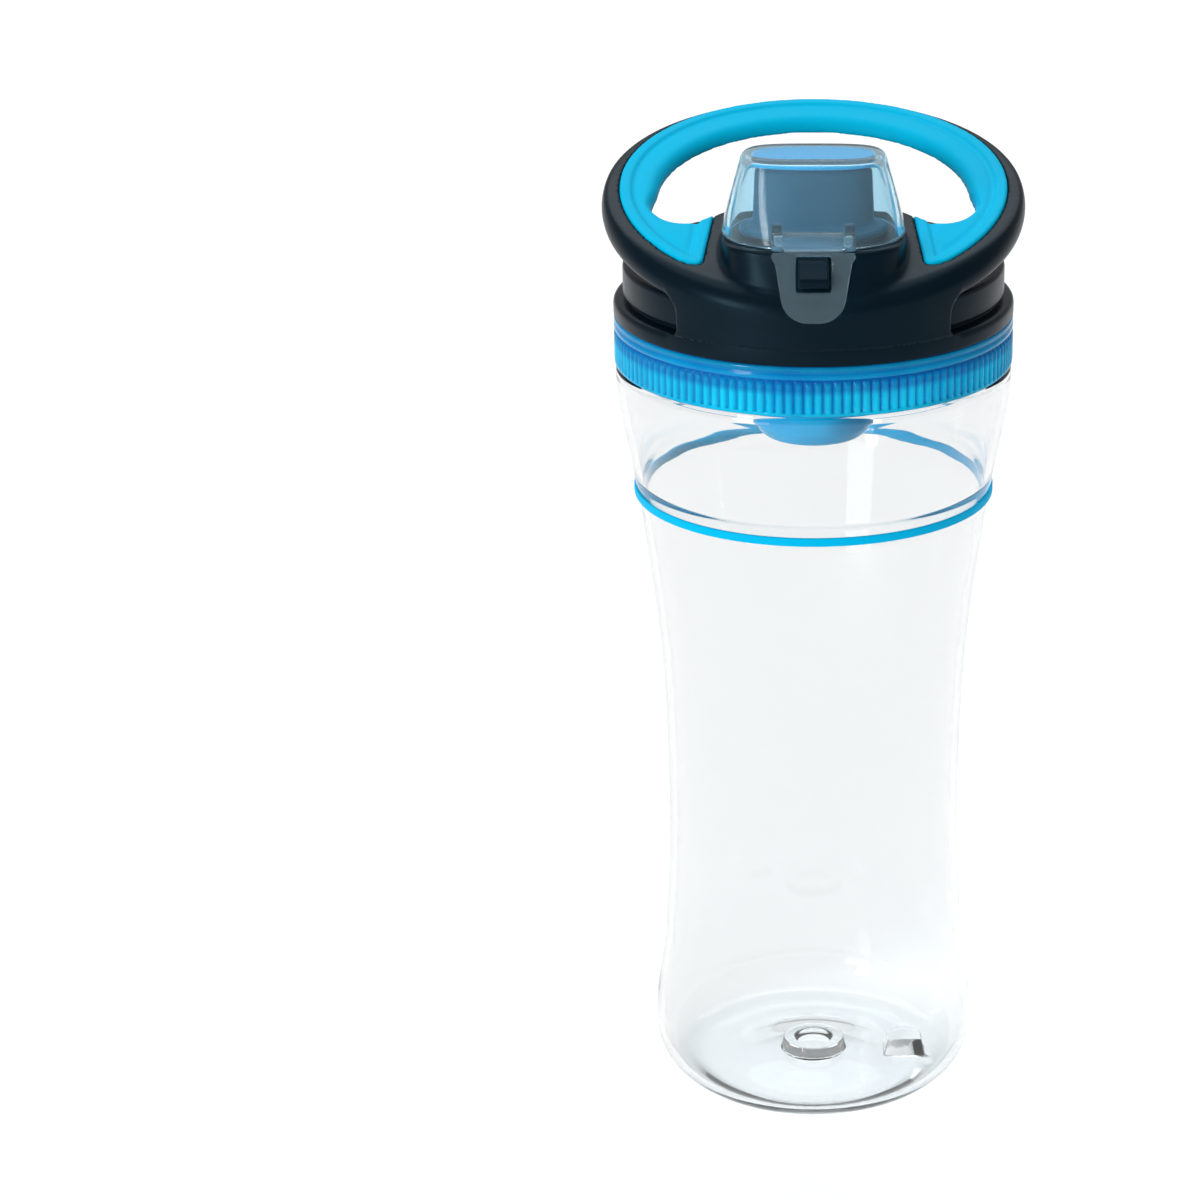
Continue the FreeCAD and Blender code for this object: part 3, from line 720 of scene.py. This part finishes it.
def apron_face(x, y, z):
    """Outer face that runs from the ledge up into the widest line of the loop."""
    rim_z = loop_top(y) - RIM_DROP
    t = step_up(z, LEDGE_Z, rim_z)
    lower = (1 - t) * (np.hypot(x, y) - APRON_R) + t * loop_plan(x, y)
    return np.where(z < rim_z, lower, loop_rim(x, y, z))


def loop_body(x, y, z):
    body = fillet_max(loop_rim(x, y, z), loop_upper(x, y, z), 0.9)
    return fillet_max(body, (loop_underside(x, y) - z) / 1.03, 1.4)


def front_face(x, y, z):
    """Face of the turret's front, leaning back above the loop."""
    return np.hypot(x, y) - np.interp(z, FRONT_Z, FRONT_R)


def turret(x, y, z):
    """Housing round the spout."""
    body = fillet_max(oval(x, y + 24.7, 18.6, 17.3, 2.3), front_face(x, y, z), 2.0)
    return fillet_max(body, z - TURRET_Z, 0.9)


def apron(x, y, z):
    """Front wall between the two side windows."""
    side = np.abs(x) * math.cos(SKIRT_ANGLE) + y * math.sin(SKIRT_ANGLE)
    t = np.clip(WINDOW_ROUND - (z - LEDGE_Z), 0, WINDOW_ROUND)
    side = side - (WINDOW_ROUND - np.sqrt(np.maximum(WINDOW_ROUND ** 2 - t ** 2, 0)))
    wall = np.maximum(fillet_max(apron_face(x, y, z), side, 0.6), SKIRT_BORE_R - np.hypot(x, y))
    return np.maximum(wall, slab(z, LEDGE_Z - 0.5, loop_top(y) - RIM_DROP))


def hinge_lugs(x, y, z):
    """The two lugs that hold the cover's hinge pin."""
    span = np.abs(np.abs(x) - 10.9) - 1.7
    eye = from_axis(HINGE, y, z) - LUG_R
    root = np.maximum(np.abs(y - HINGE[1]) - LUG_R, slab(z, HINGE[2] - 3.8, HINGE[2]))
    lug = fillet_max(np.minimum(eye, root), span, 0.5)
    return np.maximum(lug, PIN_BORE_R - from_axis(HINGE, y, z))


def shell_field(x, y, z):
    """Loop, apron and turret in one moulding, less the room for all that sits in it."""
    shell = fillet_min(loop_body(x, y, z), apron(x, y, z), 3.0)
    shell = fillet_min(shell, turret(x, y, z), 1.8)
    shell = np.maximum(shell, np.minimum(apron_face(x, y, z), front_face(x, y, z)))
    grip_room = np.maximum(-(loop_upper(x, y, z) + GRIP_THICK + GRIP_GAP), grip_plan(x, y) - 0.06)
    grip_room = np.maximum(grip_room, loop_underside(x, y) + 0.1 - z)
    shell = np.maximum(shell, -grip_room)
    cover_room = np.maximum(oval(x, y - SPOUT_Y, 19.5, 16.0, 2.2), TURRET_Z - z)
    shell = fillet_max(shell, -cover_room, 0.5)
    room_x = np.abs(x) - KNUCKLE_ROOM_X
    knuckle_room = np.maximum(from_axis(HINGE, y, z) - KNUCKLE_ROOM_R, room_x)
    above = np.maximum(np.maximum(room_x, TURRET_Z - z), np.abs(y - HINGE[1]) - KNUCKLE_ROOM_Y)
    shell = np.maximum(np.maximum(shell, -knuckle_room), -above)
    shell = fillet_min(shell, hinge_lugs(x, y, z), 0.6)
    drum = np.maximum(np.hypot(x, y) - SKIRT_BORE_R, z - DECK_Z - 0.03)
    spigot = np.hypot(x, y - SPOUT_Y) - SPIGOT_HOLE_R
    return np.maximum(np.maximum(shell, -drum), np.maximum(-spigot, LEDGE_Z - 0.5 - z))


def grip_field(x, y, z):
    """Soft skin over the loop, with a shallow groove along its outline."""
    inset = -grip_plan(x, y)
    proud = 0.3 - 0.55 * step_up(inset, 2.1, 2.8) + 0.3 * step_up(inset, 3.1, 4.4)
    upper = loop_upper(x, y, z)
    skin = fillet_max(upper - proud, -(upper + GRIP_THICK), 0.3)
    skin = fillet_max(skin, grip_plan(x, y), 0.5)
    return fillet_max(skin, loop_underside(x, y) + 0.15 - z, 0.4)


def build_handle():
    low, high = corners("handle_shell")
    shell = solid("handle_shell_moulding", shell_field, low - 0.5, high + 0.5, 0.55)
    place(shell, "lid", BLACK, "handle_shell")
    low, high = corners("handle_grip")
    grip = solid("handle_grip_skin", grip_field, low - 0.5, high + 0.8, 0.5)
    place(grip, "lid", CYAN, "handle_grip")


def catch_field(x, y, z):
    """Nub with a lead-in at its top, rooted in the turret's front."""
    face = np.maximum(CATCH_LOW[1] - y, y + 38.0)
    lead_in = (z - 197.9) * 0.8 - (y + 42.0) * 0.6
    body = fillet_max(face, slab(z, CATCH_LOW[2], 198.4), 0.35)
    body = fillet_max(body, lead_in, 0.35)
    return fillet_max(body, np.abs(x) - 3.0, 0.4)


def build_catch():
    catch = solid("latch_catch_nub", catch_field, CATCH_LOW - 0.5, CATCH_HIGH + 0.5, 0.2)
    place(catch, "lid", BLACK, "latch_catch")


FLANGE_LOW_Z, FLANGE_Z = 199.32, 201.2
SPIGOT_R, SPIGOT_BORE_R = 9.9, 7.5
O_RING_ROOT_R, O_RING_Z, O_RING_HALF = 9.15, 168.0, 1.1


def mouthpiece_field(x, y, z):
    """Oval drinking lip with a slot, on a flange and a round spigot with an O-ring groove."""
    v = y - SPOUT_Y
    flange = fillet_max(oval(x, v, 15.2, 9.4), slab(z, FLANGE_LOW_Z, FLANGE_Z), 0.8)
    rise = np.clip((z - 200.0) / (LIP_HIGH[2] - 200.0), 0, 1)
    lip = oval(x, v, 12.4 - 0.6 * rise, 6.3 - 0.5 * rise, 2.3)
    lip = fillet_max(lip, slab(z, 199.4, LIP_HIGH[2]), 1.3)
    body = fillet_min(flange, lip, 1.5)
    spigot = fillet_max(np.hypot(x, v) - SPIGOT_R, slab(z, LIP_LOW[2], 200.5), 0.6)
    body = np.minimum(body, spigot)
    slot = np.maximum(oval(x, v, 9.2, 2.9, 2.3), 199.0 - z)
    bore = np.maximum(np.hypot(x, v) - SPIGOT_BORE_R, z - TURRET_Z)
    body = fillet_max(body, -slot, 0.8)
    groove = np.maximum(O_RING_ROOT_R - np.hypot(x, v), np.abs(z - O_RING_Z) - O_RING_HALF)
    return np.maximum(np.maximum(body, -bore), -groove)


def build_mouthpiece():
    piece = solid("mouthpiece_lip", mouthpiece_field, LIP_LOW - 0.5, LIP_HIGH + 0.5, 0.4)
    place(piece, "lid", SLATE, "mouthpiece")


# ---------------------------------------------------------------- spout cover

RIM_Z, ROOF_Z = 199.5, 216.1
ROOF_MID_Y = -23.1
COVER_WALL, ROOF_THICK = 1.35, 1.4
EAR_R, EAR_X, EAR_HALF = 2.0, 7.25, 1.15
EAR_BORE_R, EAR_BORE_X = 1.05, 7.8
KNUCKLE_R, KNUCKLE_X, KNUCKLE_BORE_R = 2.3, 8.8, 1.25


def cover_form(x, y, z, inset):
    """Tapered dome: an oval rim and a squarer roof."""
    t = np.clip((z - RIM_Z) / (ROOF_Z - RIM_Z), -0.2, 1.1)
    mid = SPOUT_Y + (ROOF_MID_Y - SPOUT_Y) * t
    x_half = 18.6 - 4.3 * np.maximum(t, 0) ** 1.25
    return oval(x, y - mid, x_half, 15.1 - 7.0 * t, 2.2 + 1.0 * t) / 1.05 + inset


def cover_field(x, y, z):
    """Dome with the tongue's two ears at the front and the hinge knuckle at the back."""
    outer = fillet_max(cover_form(x, y, z, 0.0), z - ROOF_Z, 1.5)
    outer = fillet_max(outer, RIM_Z - z, 0.3)
    inner = fillet_max(cover_form(x, y, z, COVER_WALL), z - ROOF_Z + ROOF_THICK, 1.0)
    side = np.abs(x)
    ear = from_axis(LATCH, y, z) - EAR_R
    root = np.maximum(slab(z, LATCH[2] - EAR_R, LATCH[2] + EAR_R), slab(y, LATCH[1], SPOUT_Y - 7.6))
    ears = fillet_max(np.minimum(ear, root), np.abs(side - EAR_X) - EAR_HALF, 0.4)
    knuckle = from_axis(HINGE, y, z) - KNUCKLE_R
    web = np.maximum(slab(y, HINGE[1] - 5.0, HINGE[1]), slab(z, RIM_Z + 0.3, HINGE[2] + KNUCKLE_R))
    hinge = fillet_max(np.minimum(knuckle, web), side - KNUCKLE_X, 0.5)
    cover = fillet_min(fillet_min(outer, ears, 0.6), hinge, 0.6)
    cover = fillet_max(cover, -inner, 0.2)
    pin = KNUCKLE_BORE_R - from_axis(HINGE, y, z)
    trunnion = np.maximum(from_axis(LATCH, y, z) - EAR_BORE_R, side - EAR_BORE_X)
    return np.maximum(np.maximum(cover, pin), -trunnion)


def seal_field(x, y, z):
    """Pad between the lip and the roof."""
    pad = oval(x, y - SPOUT_Y, 12.2, 6.0, 2.3)
    return fillet_max(pad, slab(z, LIP_HIGH[2] + 0.12, ROOF_Z - ROOF_THICK - 0.02), 0.4)


def build_cover():
    low, high = corners("spout_cover")
    cover = solid("spout_cover_dome", cover_field, low - 0.5, high + 0.5, 0.36)
    place(cover, "cover", FROST, "spout_cover")
    low, high = corners("cover_seal")
    pad = solid("cover_seal_pad", seal_field, low - 0.4, high + 0.4, 0.25)
    place(pad, "cover", PAD_BLUE, "cover_seal")


TONGUE_LEAN = math.radians(-11.0)
TONGUE_LOW_Z = -16.2
TONGUE_HALF = 0.8
BARREL_X, BARREL_R = 5.8, 1.9
TRUNNION_X, TRUNNION_R = 7.6, 1.0


def tongue_field(x, y, z):
    """The tongue hanging straight down from an axis through the origin."""
    side = np.abs(x)
    narrow = 8.35 - 0.65 * step_up(-z, 3.2, 4.4) - 1.3 * np.clip((-z - 4.0) / 8.0, 0, 1.6)
    square_end = np.maximum(side - narrow, TONGUE_LOW_Z - z)
    round_end = fillet_max(side - narrow, TONGUE_LOW_Z - z, 4.4)
    plate = np.where(z < -8.0, round_end, square_end)
    plate = fillet_max(plate, z + 2.3, 0.6)
    window = fillet_max(side - 3.5, slab(z, -10.1, -3.0), 0.5)
    plate = fillet_max(plate, -window, 0.3)
    sheet = fillet_max(plate, np.abs(y) - TONGUE_HALF, 0.35)
    neck = fillet_max(np.maximum(side - BARREL_X, np.abs(y) - TONGUE_HALF), slab(z, -2.8, 0), 0.2)
    barrel = fillet_max(np.hypot(y, z) - BARREL_R, side - BARREL_X, 0.3)
    trunnions = fillet_max(np.hypot(y, z) - TRUNNION_R, side - TRUNNION_X, 0.2)
    return np.minimum(np.minimum(sheet, neck), np.minimum(barrel, trunnions))


def build_tongue():
    tongue = solid("latch_tongue_plate", tongue_field, (-8.9, -2.5, -16.8), (8.9, 2.5, 2.5), 0.24)
    lean = Matrix.Rotation(TONGUE_LEAN, 4, "X")
    tongue.data.transform(Matrix.Translation(Vector(LATCH) * MM) @ lean)
    place(tongue, "latch", FROST, "latch_tongue")


def finish_cad_nodes():
    """Pieces whose CAD shape is already right only get their material."""
    kept = {
        "collar_gasket": SILICONE, "vent_valve": SILICONE, "mouthpiece_oring": SILICONE,
        "cover_hinge_pin": STEEL,
    }
    for node, mat in kept.items():
        obj = frame["nodes"][node]
        obj.data.materials.clear()
        obj.data.materials.append(mat)


# ---------------------------------------------------------------- studio

FLOOR_HALF = 6.0
SUN_POWER, SUN_ANGLE = 1.45, math.radians(60)
SUN_TILT = (math.radians(-8), math.radians(-6), 0)
SKY_COLOUR, SKY_STRENGTH = (0.98, 0.99, 1.0, 1), 0.42
CAMERA_TILT = math.radians(20.68)


def build_floor():
    mesh = bpy.data.meshes.new("studio_floor")
    outline = [(x * FLOOR_HALF, y * FLOOR_HALF, 0) for x, y in ((-1, -1), (1, -1), (1, 1), (-1, 1))]
    mesh.from_pydata(outline, [], [(0, 1, 2, 3)])
    floor = bpy.data.objects.new("studio_floor", mesh)
    bpy.context.scene.collection.objects.link(floor)
    floor.data.materials.append(material("floor_white", Base_Color=(0.93, 0.93, 0.93, 1), Roughness=0.8)[0])


def area_light(name, at, target, size, power):
    data = bpy.data.lights.new(name, "AREA")
    data.shape = "RECTANGLE"
    data.size, data.size_y = size
    data.energy = power
    lamp = bpy.data.objects.new(name, data)
    lamp.location = at
    lamp.rotation_euler = (Vector(target) - Vector(at)).to_track_quat("-Z", "Y").to_euler()
    bpy.context.scene.collection.objects.link(lamp)


def build_lights():
    """Even white surroundings, with a softbox behind, one at the left and a small one in front."""
    scene = bpy.context.scene
    scene.view_settings.view_transform = "Standard"
    scene.world = bpy.data.worlds.new("studio_world")
    scene.world.use_nodes = True
    back = scene.world.node_tree.nodes["Background"]
    back.inputs["Color"].default_value = SKY_COLOUR
    back.inputs["Strength"].default_value = SKY_STRENGTH
    sky = bpy.data.lights.new("overhead_soft", "SUN")
    sky.energy = SUN_POWER
    sky.angle = SUN_ANGLE
    lamp = bpy.data.objects.new("overhead_soft", sky)
    lamp.rotation_euler = SUN_TILT
    scene.collection.objects.link(lamp)
    area_light("back_softbox", (0.0, 1.15, 1.5), (0, 0, 0.2), (2.2, 0.8), 11)
    area_light("left_softbox", (-0.66, -0.76, 0.42), (0, 0, 0.19), (0.16, 0.5), 4.6)
    area_light("front_softbox", (-0.47, -0.70, 0.13), (0, 0, 0.1), (0.28, 0.24), 0.5)


def build_camera():
    """Seen from the front and above, with the object right of the frame's middle."""
    data = bpy.data.cameras.new("camera")
    data.sensor_width = 36.0
    data.lens = 110.85
    data.shift_x = -0.1779
    camera = bpy.data.objects.new("camera", data)
    camera.location = (0.0, -0.7469, 0.3933)
    camera.rotation_euler = (math.radians(90) - CAMERA_TILT, 0, 0)
    bpy.context.scene.collection.objects.link(camera)
    bpy.context.scene.camera = camera


build_camera()
build_lights()
build_floor()
build_bottle()
build_band()
build_collar()
build_core()
build_handle()
build_catch()
build_mouthpiece()
build_cover()
build_tongue()
finish_cad_nodes()
